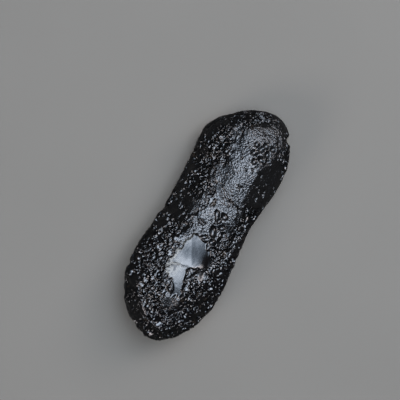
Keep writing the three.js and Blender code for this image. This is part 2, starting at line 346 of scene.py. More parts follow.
    def directions_over(self, places: Array) -> Array:
        """Directions of the upper skin over places seen from above.

        The angle along the axis is arccos(-x / half length), and the roll is the lean's angle
        plus arccos(how far the place lies across the section).

        Args:
            places: Rows of x and y.

        Returns:
            One unit vector for each place.
        """
        angles = np.arccos(np.clip(-places[:, 0] / self.half_size[0], -1, 1))
        centre, width, _, lean = self.section(angles)
        roll = np.arcsin(lean / width) + np.arccos(np.clip((places[:, 1] - centre) / width, -1, 1))
        girth = np.sin(angles)
        return np.stack([-np.cos(angles), girth * np.cos(roll), girth * np.sin(roll)], axis=-1)

    def directions_towards(self, targets: Array, near: Array) -> Array:
        """Directions in which the skin lies over targets.

        Each step moves the direction by what it misses the target by along the skin.

        Args:
            targets: Places close to the skin.
            near: Known directions near them.

        Returns:
            One unit vector for each target.
        """
        axes = self.outward(near)
        directions = near
        for _ in range(self.aiming_steps):
            miss = targets - self.skin(directions)
            miss = miss - dots(miss, axes)[..., None] * axes
            directions = unit((directions * self.half_size + miss) / self.half_size)
        return directions


# --- Grid of the skin -----------------------------------------------------------------------


class Side(Enum):
    """Sides of the block that the grid is spread from, as the number of an axis and a sign."""

    SLIM_TIP = (0, 1)
    FAT_TIP = (0, -1)
    LEFT = (1, 1)
    RIGHT = (1, -1)
    TOP = (2, 1)
    BOTTOM = (2, -1)


@dataclass(frozen=True)
class BallGrid:
    """Directions from the middle of the stone, in six patches that share their borders.

    The patches are the sides of a block. Its corners are put on a ball, and then they are all
    lifted and put on the ball again, which crowds the cells together on top.
    """

    cells_across: int = 94
    cells_along: int = 215
    lift: float = 0.28  # as a share of the ball's radius
    digits: int = 9  # to which corners of neighbouring patches agree

    def steps(self, axis: int) -> Array:
        """Steps across a patch along an axis: tan(s pi / 4), with s from -1 to 1."""
        cells = self.cells_along if axis == 0 else self.cells_across
        return np.tan(np.linspace(-1, 1, cells + 1) * np.pi / 4)

    def patch(self, side: Side) -> tuple[Array, Array]:
        """One side of the block.

        Args:
            side: Which side.

        Returns:
            Its corners on the block, and the corner numbers of its cells, anticlockwise as seen
            from outside.
        """
        axis, sign = side.value
        first, second = (axis + 1) % 3, (axis + 2) % 3
        u, v = np.meshgrid(self.steps(first), self.steps(second), indexing="ij")
        corners = np.empty(u.shape + (3,))
        corners[..., axis] = sign
        corners[..., first] = u
        corners[..., second] = v
        numbers = np.arange(u.size).reshape(u.shape)
        cells = np.stack([numbers[:-1, :-1], numbers[1:, :-1], numbers[1:, 1:], numbers[:-1, 1:]], axis=-1)
        return corners.reshape(-1, 3), cells.reshape(-1, 4)[:, ::sign]

    def build(self) -> tuple[Array, Array]:
        """Joins the six patches where their corners meet.

        Returns:
            Unit directions, and the four corner numbers of each cell.
        """
        corners, cells, count = [], [], 0
        for side in Side:
            patch_corners, patch_cells = self.patch(side)
            corners.append(patch_corners)
            cells.append(patch_cells + count)
            count += len(patch_corners)
        places = np.round(np.concatenate(corners), self.digits) + 0.0  # no place is minus 0
        joined, numbers = np.unique(places, axis=0, return_inverse=True)
        lifted = unit(joined) + np.array([0, 0, self.lift])
        return unit(lifted), numbers.reshape(-1)[np.concatenate(cells)]


def skin_normals(points: Array, cells: Array) -> Array:
    """The way a grid of cells faces at its corners.

    Args:
        points: Places of the corners.
        cells: Four corner numbers of each cell.

    Returns:
        For each corner, the unit sum of the cross products of the diagonals of its cells.
    """
    a, b, c, d = (points[cells[:, corner]] for corner in range(4))
    facing = np.cross(c - a, d - b)
    sums = np.zeros_like(points)
    for corner in range(4):
        for axis in range(3):
            sums[:, axis] += np.bincount(cells[:, corner], facing[:, axis], len(points))
    return unit(sums)


# --- Places on the skin ---------------------------------------------------------------------


@dataclass(frozen=True)
class Crest:
    """The satin band along the top, between two borders seen from above.

    It fades out at its left and at both ends. At its right it ends in a ledge.
    """

    stations: Sequence[float] = (-23, -20, -13.5, -6, -2, 1, 4, 7, 12, 19, 22, 25, 28, 31, 34.5)
    left: Sequence[float] = (0, 1.5, 5.2, 6.2, 5.6, 4.6, 3.6, 3.2, 3.0, 4.2, 5.0, 4.4, 5.2, 4, 1)
    right: Sequence[float] = (
        -2, -4, -6, -5, -6, -8.3, -7.3, -6.4, -6.1, -6.1, -6.4, -7.4, -7.9, -7, -3,
    )
    left_border: float = 3.4  # softness of the left border and the ends
    right_border: float = 0.9  # softness of the right border
    # Fall of the ledge for each millimetre from its edge, and how far it goes on falling.
    ledge_slopes: Sequence[float] = (0, 0, 0, 0, 0.2, 0.4, 0.4, 0.4, 0.4, 0.4, 0.38, 0.3, 0.2, 0.1, 0)
    ledge_runs: Sequence[float] = (4, 4, 4, 4, 4, 4, 3.8, 3, 2.3, 2.2, 2.2, 2.4, 2.6, 2.6, 2.6)

    def share(self, points: Array, normals: Array) -> Array:
        """How much each place belongs to the band, from 0 to 1.

        Args:
            points: Places on the skin.
            normals: The way the skin faces there.

        Returns:
            Smooth steps over the distances to the borders and ends, for skin that faces up.
        """
        x, y = points[:, 0], points[:, 1]
        left = np.interp(x, self.stations, self.left) - y
        right = y - np.interp(x, self.stations, self.right)
        ends = np.minimum(x - self.stations[0], self.stations[-1] - x)
        fade = smooth_step(np.minimum(left, ends), -self.left_border / 2, self.left_border)
        return fade * smooth_step(right, -self.right_border, self.right_border) * (normals[:, 2] > 0)

    def ledge(self, points: Array, normals: Array) -> Array:
        """Depth of the ledge that ends in a sharp edge at the right border.

        With d the distance inside the border it is slope * d * exp(-d / run).

        Args:
            points: Places on the skin.
            normals: The way the skin faces there.

        Returns:
            Depths, for skin that faces up.
        """
        x, y = points[:, 0], points[:, 1]
        inside = np.maximum(y - np.interp(x, self.stations, self.right), 0)
        slope = np.interp(x, self.stations, self.ledge_slopes, 0, 0)
        run = np.interp(x, self.stations, self.ledge_runs)
        return slope * inside * np.exp(-inside / run) * (normals[:, 2] > 0)


@dataclass(frozen=True)
class Window:
    """The bare place on the fat lobe: a fresh, smooth break with a ragged border.

    It has two facets that meet across the stone, a hollow at its right, a crack, and glass that
    is crushed and rough along its left border, painted pale there as a highlight where the edge
    catches the light.
    """

    border: Sequence[Place] = (
        (-4.4, 1.8), (-3.9, 0.3), (-4.3, -1.5), (-5.3, -3.5), (-6.3, -4.9), (-7.3, -6.5),
        (-8.3, -7.6), (-9.8, -7.9), (-11.3, -7.1), (-12.4, -6.2), (-12.9, -4.4), (-13.8, -2.9),
        (-14.9, -2.3), (-17.9, -3.1), (-21.6, -4.6), (-23.4, -3.8), (-23.5, -1.2), (-20.4, -0.1),
        (-19.0, 0.9), (-18.8, 2.0), (-18.0, 3.4), (-16.8, 4.2), (-14.9, 4.3), (-12.7, 3.8),
        (-9.6, 3.2), (-6.7, 2.8),
    )
    raggedness: Waves = Waves(count=9, longest=3.2, shortest=1.0, steepness=0.06, phase_step=2.3)
    edge: Span = (-0.15, 0.25)  # inside the border, from pitted skin to bare glass
    top: float = 3.6  # across the stone, where the break starts to fall away
    lean_stations: Sequence[float] = (-24, -15, -14, -4)  # along the stone
    leans: Sequence[float] = (0.135, 0.135, 0.197, 0.17)  # fall for each millimetre across
    bends: Sequence[float] = (0, 0, 0.0205, 0.0185)  # loss of the fall with its square
    uphill_from: float = -15.0  # along the stone
    uphill: float = 0.035  # loss of depth for each millimetre from there towards the fat tip
    wall: float = 1.5  # rise to the border for each millimetre
    corner: float = 0.1  # roundness between the two
    hollow_from: Place = (-8.3, 0.0)  # on the line where the hollow begins
    hollow_towards: Place = (0.49, -0.87)  # straight away from that line
    hollow_slope: float = 0.08  # fall for each millimetre
    hollow_bend: float = 0.014  # growth of the fall with its square
    hollow_end: float = 5.0  # from the line, where it stops falling
    hollow_shore: Span = (-3.0, 0.3)  # inside the border, where it runs out
    crack: Sequence[Place] = ((-16.8, 4.2), (-14.9, 2.9), (-14.4, 1.6), (-14.2, -0.2), (-13.5, -1.7))
    crack_width: float = 0.28  # to each side
    crack_depth: float = 0.25
    frost_highlight_place: Place = (-15.8, 2.6)  # where the glass is crushed most, and the painted highlight is brightest
    frost_highlight_reach: float = 2.6
    frost_highlight_edge: Span = (-0.3, 0.1)  # inside the border, where the crushed glass and its painted highlight begin
    strip_width: float = 1.5  # of the crushed glass and its painted highlight along the border
    strip_fade: float = 1.2  # how far it takes to grow
    strip_across: Span = (0.5, 2.5)  # across the stone, from bare to crushed and painted pale
    strip_along: Span = (-12.0, -8.0)  # along the stone, from crushed and painted pale to less so
    strip_loss: float = 0.5

    @staticmethod
    def distances(points: Array, first: Array, second: Array) -> Array:
        """Distances to a stretch between two corners, seen from above.

        Args:
            points: Rows of x and y.
            first: The corner at one end.
            second: The corner at the other end.

        Returns:
            The distance of each point to the nearest place of the stretch.
        """
        stretch = second - first
        share = np.clip((points - first) @ stretch / (stretch @ stretch), 0, 1)
        return np.linalg.norm(points - first - share[:, None] * stretch, axis=1)

    def inside(self, points: Array, normals: Array) -> Array:
        """How far each place lies inside the border, below 0 outside.

        The distance to the nearest stretch of the border, with its sign from the number of
        stretches that a line along +Y crosses, plus small waves that make the border ragged.

        Args:
            points: Places on the skin.
            normals: The way the skin faces there.

        Returns:
            Millimetres from the border.
        """
        places = points[:, :2]
        corners = np.array(self.border)
        nearest = np.full(len(points), np.inf)
        crossings = np.zeros(len(points), int)
        for first, second in zip(corners, np.roll(corners, -1, axis=0)):
            nearest = np.minimum(nearest, self.distances(places, first, second))
            between = (first[0] > places[:, 0]) != (second[0] > places[:, 0])
            run = second[0] - first[0] or 1.0  # nothing lies between the ends where it would be 0
            level = first[1] + (places[:, 0] - first[0]) / run * (second[1] - first[1])
            crossings += between & (level > places[:, 1])
        signed = np.where(crossings % 2 == 1, nearest, -nearest) + self.raggedness.height(points)
        return np.where(normals[:, 2] > 0, signed, -np.inf)

    def depth_under(self, points: Array, inside: Array) -> Array:
        """Depth of the break.

        At s across from its top it is lean * s - bend * s^2 deep, which is flat under the round
        skin, and less towards the fat tip. It rises to the border by wall for each millimetre,
        and the lesser of the two counts, rounded as -k log(exp(-a / k) + exp(-b / k)).

        Args:
            points: Places on the skin.
            inside: How far each lies inside the border.

        Returns:
            Depths, 0 outside the border.
        """
        lean = np.interp(points[:, 0], self.lean_stations, self.leans)
        bend = np.interp(points[:, 0], self.lean_stations, self.bends)
        across = np.maximum(self.top - points[:, 1], 0)
        uphill = self.uphill * np.maximum(self.uphill_from - points[:, 0], 0)
        fall = self.corner + np.maximum(lean * across - bend * across**2 - uphill, 0)
        rise = self.wall * np.maximum(inside, 0)
        rounded = -self.corner * np.logaddexp(-fall / self.corner, -rise / self.corner)
        return np.maximum(rounded + self.corner * math.log(2) * (inside > 0), 0) * (inside > 0)

    def hollow(self, points: Array, inside: Array) -> Array:
        """Depth of the hollow to the right of a line across the break.

        With d the distance past the line, up to the end, it is slope * d + bend * d^2. It runs
        out among the cups beside the break.

        Args:
            points: Places on the skin.
            inside: How far each lies inside the border.

        Returns:
            Depths, 0 to the left of the line and away from the break.
        """
        away = (points[:, :2] - np.array(self.hollow_from)) @ np.array(self.hollow_towards)
        away = np.clip(away, 0, self.hollow_end)
        depth = self.hollow_slope * away + self.hollow_bend * away**2
        return np.where(np.isfinite(inside), depth * smooth_step(inside, *self.hollow_shore), 0)

    def frost(self, points: Array, inside: Array) -> Array:
        """How crushed the glass is, and how strong its painted highlight: most near one place of the
        border, and in a strip along it.

        Around the place it is exp(-(distance / reach)^2).

        Args:
            points: Places on the skin.
            inside: How far each lies inside the border.

        Returns:
            0 for clear glass to 1 for glass that is crushed and painted pale as a highlight.
        """
        away = np.linalg.norm(points[:, :2] - np.array(self.frost_highlight_place), axis=1)
        patch = np.exp(-((away / self.frost_highlight_reach) ** 2))
        strip = smooth_step(self.strip_width - inside, 0, self.strip_fade)
        strip = strip * smooth_step(points[:, 1], *self.strip_across)
        strip = strip * (1 - self.strip_loss * smooth_step(points[:, 0], *self.strip_along))
        return np.maximum(patch, strip) * smooth_step(inside, *self.frost_highlight_edge)

    def crack_share(self, points: Array, normals: Array) -> Array:
        """How deep each place lies in the crack: 1 - (distance / width)^2.

        Args:
            points: Places on the skin.
            normals: The way the skin faces there.

        Returns:
            0 beside the crack to 1 along its middle, for skin that faces up.
        """
        corners = np.array(self.crack)
        stretches = zip(corners[:-1], corners[1:])
        nearest = np.min([self.distances(points[:, :2], *ends) for ends in stretches], axis=0)
        return np.clip(1 - (nearest / self.crack_width) ** 2, 0, 1) * (normals[:, 2] > 0)


@dataclass(frozen=True)
class Dimple:
    """A shallow, soft dent in the upper skin."""

    x: float
    y: float
    reach: float
    deepest: float

    def depth_under(self, points: Array, normals: Array) -> Array:
        """Depths of deepest * exp(-(distance / reach)^2), for skin that faces up."""
        away = np.hypot(points[:, 0] - self.x, points[:, 1] - self.y)
        return self.deepest * np.exp(-((away / self.reach) ** 2)) * (normals[:, 2] > 0)


@dataclass(frozen=True)
class CupPatch:
    """A place on the upper skin with a cover of its own, an ellipse seen from above."""

    x: float
    y: float
    half_length: float
    half_width: float
    share: float  # of the cups that stay in its middle
    fade: Span = (0.7, 1.15)  # as shares of its half sizes, from its own cover to the one beside

    def cover(self, points: Array, beside: Array) -> Array:
        """Share of the cups that stay: the patch's own in its middle, and beside's around it."""
        away = np.hypot((points[:, 0] - self.x) / self.half_length, (points[:, 1] - self.y) / self.half_width)
        return self.share + (beside - self.share) * smooth_step(away, *self.fade)


# --- Cups -----------------------------------------------------------------------------------


# What Cups holds for each cup, in the order of its fields.
CUP_COLUMNS = ("centres", "axes", "long_ways", "half_lengths", "half_widths", "depths")


@dataclass
class Cups:
    """Cups sunk into the skin. The mouth of each is an ellipse."""

    centres: Array
    axes: Array  # the way out of each
    long_ways: Array  # along each mouth
    half_lengths: Array
    half_widths: Array
    depths: Array
    wall_radius: float  # of the ball that a cup's inside follows, as a share of the mouth's

    def keep(self, kept: Array) -> "Cups":
        """The cups for which kept is true."""
        return Cups(*(getattr(self, column)[kept] for column in CUP_COLUMNS), self.wall_radius)

    def profile(self, squared: Array) -> Array:
        """The shape of a cup's inside: a cap of a ball.

        Args:
            squared: Square of the distance from the middle, as a share of the mouth's radius.

        Returns:
            Depth as a share of the deepest, 0 at the rim.
        """
        ball = self.wall_radius**2
        rim = math.sqrt(ball - 1)
        return (np.sqrt(ball - squared) - rim) / (self.wall_radius - rim)

    def depth_under(self, points: Array) -> Array:
        """How far the deepest cup lies below each place.

        Places are sorted along X, so that each cup looks only at the slice that it can reach.

        Args:
            points: Places on the skin.

        Returns:
            Depths, 0 outside all mouths.
        """
        order = np.argsort(points[:, 0])
        ordered = points[order]
        reach = np.maximum(self.half_lengths, self.half_widths)
        starts = np.searchsorted(ordered[:, 0], self.centres[:, 0] - reach)
        ends = np.searchsorted(ordered[:, 0], self.centres[:, 0] + reach)
        short_ways = np.cross(self.axes, self.long_ways)
        deepest = np.zeros(len(points))
        for cup in range(len(self.centres)):
            rows = slice(starts[cup], ends[cup])
            away = ordered[rows] - self.centres[cup]
            along = away @ self.long_ways[cup] / self.half_lengths[cup]
            across = away @ short_ways[cup] / self.half_widths[cup]
            squared = along * along + across * across
            inside = (squared < 1) & (np.abs(away @ self.axes[cup]) < reach[cup])
            depth = np.where(inside, self.depths[cup] * self.profile(np.minimum(squared, 1)), 0)
            deepest[rows] = np.maximum(deepest[rows], depth)
        unsorted = np.empty_like(deepest)
        unsorted[order] = deepest
        return unsorted


def sunk_cups(
    form: Form, directions: Array, radii: Array, stretches: Array, depths: Array, bearings: Array,
    wall_radius: float,
) -> Cups:
    """Cups at directions of the form.

    The long side of each mouth is the stone's axis, laid on the skin and turned by the bearing.

    Args:
        form: The smooth stone.
        directions: Where the cups lie.
        radii: Half widths of the mouths.
        stretches: Half lengths as shares of the half widths.
        depths: Depths.
        bearings: Turns of the mouths round the way out.
        wall_radius: Of the ball that each inside follows, as a share of the mouth's.

    Returns:
        The cups.
    """
    axes = form.outward(directions)
    ahead = unit(np.array([1.0, 0.0, 0.0]) - axes[:, :1] * axes)
    aside = np.cross(axes, ahead)
    long_ways = np.cos(bearings)[:, None] * ahead + np.sin(bearings)[:, None] * aside
    return Cups(form.skin(directions), axes, long_ways, radii * stretches, radii, depths, wall_radius)


@dataclass(frozen=True)
class CupShapes:
    """How the sizes and shapes of one kind of cups vary."""

    smallest: float  # radius
    largest: float
    shallowest: float  # depth as a share of the radius
    deepest: float
    stretch: float  # length of the longest mouths as a share of their width
    wall_radius: float  # of the ball that a cup's inside follows, as a share of the mouth's

    def sink(self, form: Form, directions: Array, radii: Array, numbers: Array) -> Cups:
        """Cups whose depths, stretches and bearings are drawn from their numbers.

        Args:
            form: The smooth stone.
            directions: Where the cups lie.
            radii: Half widths of the mouths.
            numbers: A number of each cup.

        Returns:
            The cups.
        """
        depths = radii * (self.shallowest + (self.deepest - self.shallowest) * scatter(numbers, Draw.DEPTH))
        stretches = 1 + (self.stretch - 1) * scatter(numbers, Draw.STRETCH)
        bearings = 2 * np.pi * scatter(numbers, Draw.BEARING)
        return sunk_cups(form, directions, radii, stretches, depths, bearings, self.wall_radius)


@dataclass(frozen=True)
class CupFamilies(CupShapes):
    """Cups scattered over the stone in families that overlap, at even steps of a spiral."""

    count: int
    members: int  # in the largest family
    younger: float  # radius of each next cup as a share of the one before
    overlap: float  # spacing of neighbours as a share of their radii together
    jitter: float  # of the places, in steps of the spiral

    def build(self, form: Form) -> Cups:
        """Places all members, each next one beside the one before.

        Args:
            form: The smooth stone.

        Returns:
            The cups of all families.
        """
        families = np.arange(self.count)
        spots = families + self.jitter * (scatter(families, Draw.SPOT) - 0.5)
        directions = spiral_directions(spots, self.count)
        radii = self.smallest + (self.largest - self.smallest) * scatter(families, Draw.RADIUS)
        sizes = 1 + np.floor(self.members * scatter(families, Draw.FAMILY_SIZE))
        step = self.overlap * (1 + self.younger)
        made = []
        for member in range(self.members):
            numbers = families * self.members + member
            cups = self.sink(form, directions, radii, numbers)
            made.append(cups.keep(sizes > member))
            turns = 2 * np.pi * scatter(numbers, Draw.TURN)
            short_ways = np.cross(cups.axes, cups.long_ways)
            targets = (
                cups.centres
                + (step * cups.half_lengths * np.cos(turns))[:, None] * cups.long_ways
                + (step * cups.half_widths * np.sin(turns))[:, None] * short_ways
            )
            directions = form.directions_towards(targets, directions)
            radii = radii * self.younger
        return joined_cups(made)


@dataclass(frozen=True)
class PackedCups(CupShapes):
    """Cups that crowd together like foam: the widest are laid first and the rest fill the gaps."""

    tried: int
    rarity: float  # how rare the wide ones are
    closeness: float  # least spacing of neighbours as a share of their radii together
    slim_share: float  # size on the slim lobe as a share of the size on the fat one
    seed: int
    waist: Span = (-0.3, 0.3)  # where the size changes, in shares of half the stone's length

    def build(self, form: Form) -> Cups:
        """Lays the cups one after another, each where it keeps its distance from the others.

        Args:
            form: The smooth stone.

        Returns:
            The cups that found room.
        """
        spots = np.arange(self.tried)
        numbers = spots + self.seed
        directions = spiral_directions(spots + scatter(numbers, Draw.SPOT) - 0.5, self.tried)
        radii = self.smallest + (self.largest - self.smallest) * scatter(numbers, Draw.RADIUS) ** self.rarity
        radii *= 1 - (1 - self.slim_share) * smooth_step(directions[:, 0], *self.waist)
        order = np.argsort(-radii)
        directions, radii, numbers = directions[order], radii[order], numbers[order]
        centres = form.skin(directions)
        laid = np.zeros(0, int)
        for cup in range(self.tried):
            spacing = np.linalg.norm(centres[laid] - centres[cup], axis=1)
            if np.all(spacing > self.closeness * (radii[laid] + radii[cup])):
                laid = np.append(laid, cup)
        return self.sink(form, directions[laid], radii[laid], numbers[laid])


def joined_cups(groups: Sequence[Cups]) -> Cups:
    """All cups of several groups that have one wall radius."""
    columns = (np.concatenate([getattr(group, column) for group in groups]) for column in CUP_COLUMNS)
    return Cups(*columns, groups[0].wall_radius)


@dataclass(frozen=True)
class KnownCup:
    """A cup that stands out, at a place of the upper skin seen from above."""

    x: float
    y: float
    radius: float
    stretch: float = 1.0
    bearing: float = 0.0  # degrees
    depth_share: float = 0.85


KNOWN_CUPS = (
    # The cluster on the slim lobe.
    KnownCup(25.9, -2.3, 1.05, 1.2, 100, 1.0), KnownCup(27.6, -3.7, 0.95, 1.3, 150, 1.0),
    KnownCup(24.9, -5.2, 0.9, 1.6, 82, 1.0), KnownCup(29.4, -4.6, 0.9, 1.3, 60, 1.0),
    KnownCup(27.1, -6.3, 1.0, 1.3, 20, 1.0), KnownCup(29.5, -6.9, 0.95, 1.2, 120),
    KnownCup(28.4, -1.9, 0.8, 1.3, 30), KnownCup(23.4, -3.6, 0.8, 1.4, 60),
    # The ring at the waist.
    KnownCup(4.3, -1.6, 0.85, 1.7, 43), KnownCup(4.6, -3.9, 0.9, 1.7, 69), KnownCup(2.7, -3.2, 0.8, 1.2, 20),
    KnownCup(-2.6, -6.4, 1.15), KnownCup(1.3, -5.0, 0.9, 1.4, 100), KnownCup(-0.4, -6.7, 0.95, 1.2, 60),
    KnownCup(-1.0, -3.2, 1.2, 1.65, 30), KnownCup(-3.7, -4.6, 1.1),
    KnownCup(-3.6, -1.5, 0.7, 1.8, -60, 0.8),
    # Cups around the window.
    KnownCup(-19.1, 0.5, 0.9), KnownCup(-15.7, -2.2, 0.7), KnownCup(-14.7, -5.1, 1.0),
    KnownCup(-13.9, -6.4, 2.2, 1, 0, 0.25), KnownCup(-17.2, -5.6, 1.2), KnownCup(-12.2, -8.9, 0.9, 1.5, 20),
    KnownCup(-25.0, 3.2, 0.7, 2.8, 90, 0.4), KnownCup(-24.4, 5.6, 0.9), KnownCup(-24.3, 3.4, 0.9),
    # Single pores on the crest.
    KnownCup(22.4, 0.3, 0.45), KnownCup(20.0, -2.6, 0.45), KnownCup(17.4, 0.2, 0.4),
    KnownCup(22.2, -5.1, 0.45), KnownCup(1.8, -1.0, 0.4), KnownCup(14.2, -3.2, 0.4),
    # Nicks that show in the outline.
    KnownCup(34.6, -10.6, 1.5, 3, 90), KnownCup(-22.1, 15.4, 1.4, 2.5, 90, 0.4),
    KnownCup(-37.2, 4.6, 1.4, 2.5, 90, 0.4), KnownCup(-2.1, 13.9, 1.4, 2.5, 90, 0.4),
    KnownCup(-38.3, 0.6, 1.4, 2, 90, 0.4),
)


def known_cups(form: Form, wall_radius: float) -> Cups:
    """The cups that stand out.

    Args:
        form: The smooth stone.
        wall_radius: Of the ball that each inside follows, as a share of the mouth's.

    Returns:
        The cups, sunk into the form.
    """
    rows = np.array([astuple(cup) for cup in KNOWN_CUPS])
    radii, stretches, bearings, depth_shares = rows[:, 2:].T
    directions = form.directions_over(rows[:, :2])
    depths = radii * depth_shares
    return sunk_cups(form, directions, radii, stretches, depths, np.radians(bearings), wall_radius)


# --- Finishes -------------------------------------------------------------------------------


class Value:
    """A number that varies over a surface: a node's output with arithmetic."""

    def __init__(self, shading: "Shading", socket: bpy.types.NodeSocket) -> None:
        """Wraps an output socket of a finish."""
        self.shading = shading
        self.socket = socket

    def math(self, operation: str, *values: "Number") -> "Value":
        """A Math node on the given values."""
        node = self.shading.add("ShaderNodeMath", {"operation": operation}, dict(enumerate(values)))
        return Value(self.shading, node.outputs[0])

    def __add__(self, other: "Number") -> "Value":
        """self + other"""
        return self.math("ADD", self, other)

    def __sub__(self, other: "Number") -> "Value":
        """self - other"""
        return self.math("SUBTRACT", self, other)

    def __rsub__(self, other: "Number") -> "Value":
        """other - self"""
        return self.math("SUBTRACT", other, self)

    def __mul__(self, other: "Number") -> "Value":
        """self * other"""
        return self.math("MULTIPLY", self, other)

    __radd__ = __add__
    __rmul__ = __mul__

    def step(self, low: float, high: float) -> "Value":
        """Rises from 0 at low to 1 at high along 3t^2 - 2t^3.

        Args:
            low: Where it begins to rise.
            high: Where it has risen.

        Returns:
            The risen value.
        """
        sockets = {"Value": self, "From Min": low, "From Max": high}
        node = self.shading.add("ShaderNodeMapRange", {"interpolation_type": "SMOOTHSTEP"}, sockets)
        return Value(self.shading, node.outputs["Result"])


Number = Union[Value, float]


class Shading:
    """The nodes of one finish."""

    def __init__(self, name: str) -> None:
        """Makes an empty material.

        Args:
            name: The material's name.
        """
        self.material = bpy.data.materials.new(name)
        self.material.use_nodes = True
        self.tree = self.material.node_tree
        self.tree.nodes.clear()

    def add(self, kind: str, settings: dict[str, object], sockets: dict[object, object]) -> bpy.types.Node:
        """Adds a node.

        Args:
            kind: Its type.
            settings: Its own settings, which are set first.
            sockets: A value, or the Value or socket that it is linked to, for each input.

        Returns:
            The node.
        """
        node = self.tree.nodes.new(kind)
        for name, setting in settings.items():
            setattr(node, name, setting)
        for name, value in sockets.items():
            source = value.socket if isinstance(value, Value) else value
            if isinstance(source, bpy.types.NodeSocket):
                self.tree.links.new(source, node.inputs[name])
            else:
                node.inputs[name].default_value = source
        return node

    def attribute(self, name: str) -> Value:
        """A number that the mesh stores."""
        node = self.add("ShaderNodeAttribute", {"attribute_name": name}, {})
        return Value(self, node.outputs["Fac"])

    def noise(self, place: bpy.types.NodeSocket, size: float, detail: float = 2.0) -> Value:
        """Soft noise from 0 to 1 whose blots are about size millimetres across."""
        sockets = {"Vector": place, "Scale": 1 / (size * METRES), "Detail": detail}
        return Value(self, self.add("ShaderNodeTexNoise", {}, sockets).outputs["Fac"])

    def bent(self, place: bpy.types.NodeSocket, size: float, reach: float) -> bpy.types.NodeSocket:
        """A place that soft noise moves: place + reach * the noise's colour, which is 0 to 1.

        Args:
            place: The place.
            size: Of the noise's blots, in millimetres.
            reach: How far it moves the place at most, in millimetres.

        Returns:
            The moved place.
        """
        cloud = self.add("ShaderNodeTexNoise", {}, {"Vector": place, "Scale": 1 / (size * METRES)})
        sockets = {0: cloud.outputs["Color"], 1: (reach * METRES,) * 3, 2: place}
        return self.add("ShaderNodeVectorMath", {"operation": "MULTIPLY_ADD"}, sockets).outputs[0]

    def spacing(self, place: bpy.types.NodeSocket, size: float) -> Value:
        """Distance to the nearest of points that are scattered size apart, as a share of size."""
        cells = self.add("ShaderNodeTexVoronoi", {}, {"Vector": place, "Scale": 1 / (size * METRES)})
        return Value(self, cells.outputs["Distance"])

    def mixed_colour(self, share: Number, first: object, second: object) -> bpy.types.NodeSocket:
        """The first colour where share is 0, the second where it is 1."""
        sockets = {"Factor": share, 6: first, 7: second}  # 6 and 7 are the colours A and B
        return self.add("ShaderNodeMix", {"data_type": "RGBA"}, sockets).outputs[2]

    def finish(self, sockets: dict[object, object]) -> bpy.types.Material:
        """Ends the nodes in a Principled shader.

        Args:
            sockets: A value, or the Value or socket that it is linked to, for its inputs.

        Returns:
            The finished material.
        """
        shader = self.add("ShaderNodeBsdfPrincipled", {}, sockets)
        self.add("ShaderNodeOutputMaterial", {}, {"Surface": shader.outputs["BSDF"]})
        return self.material


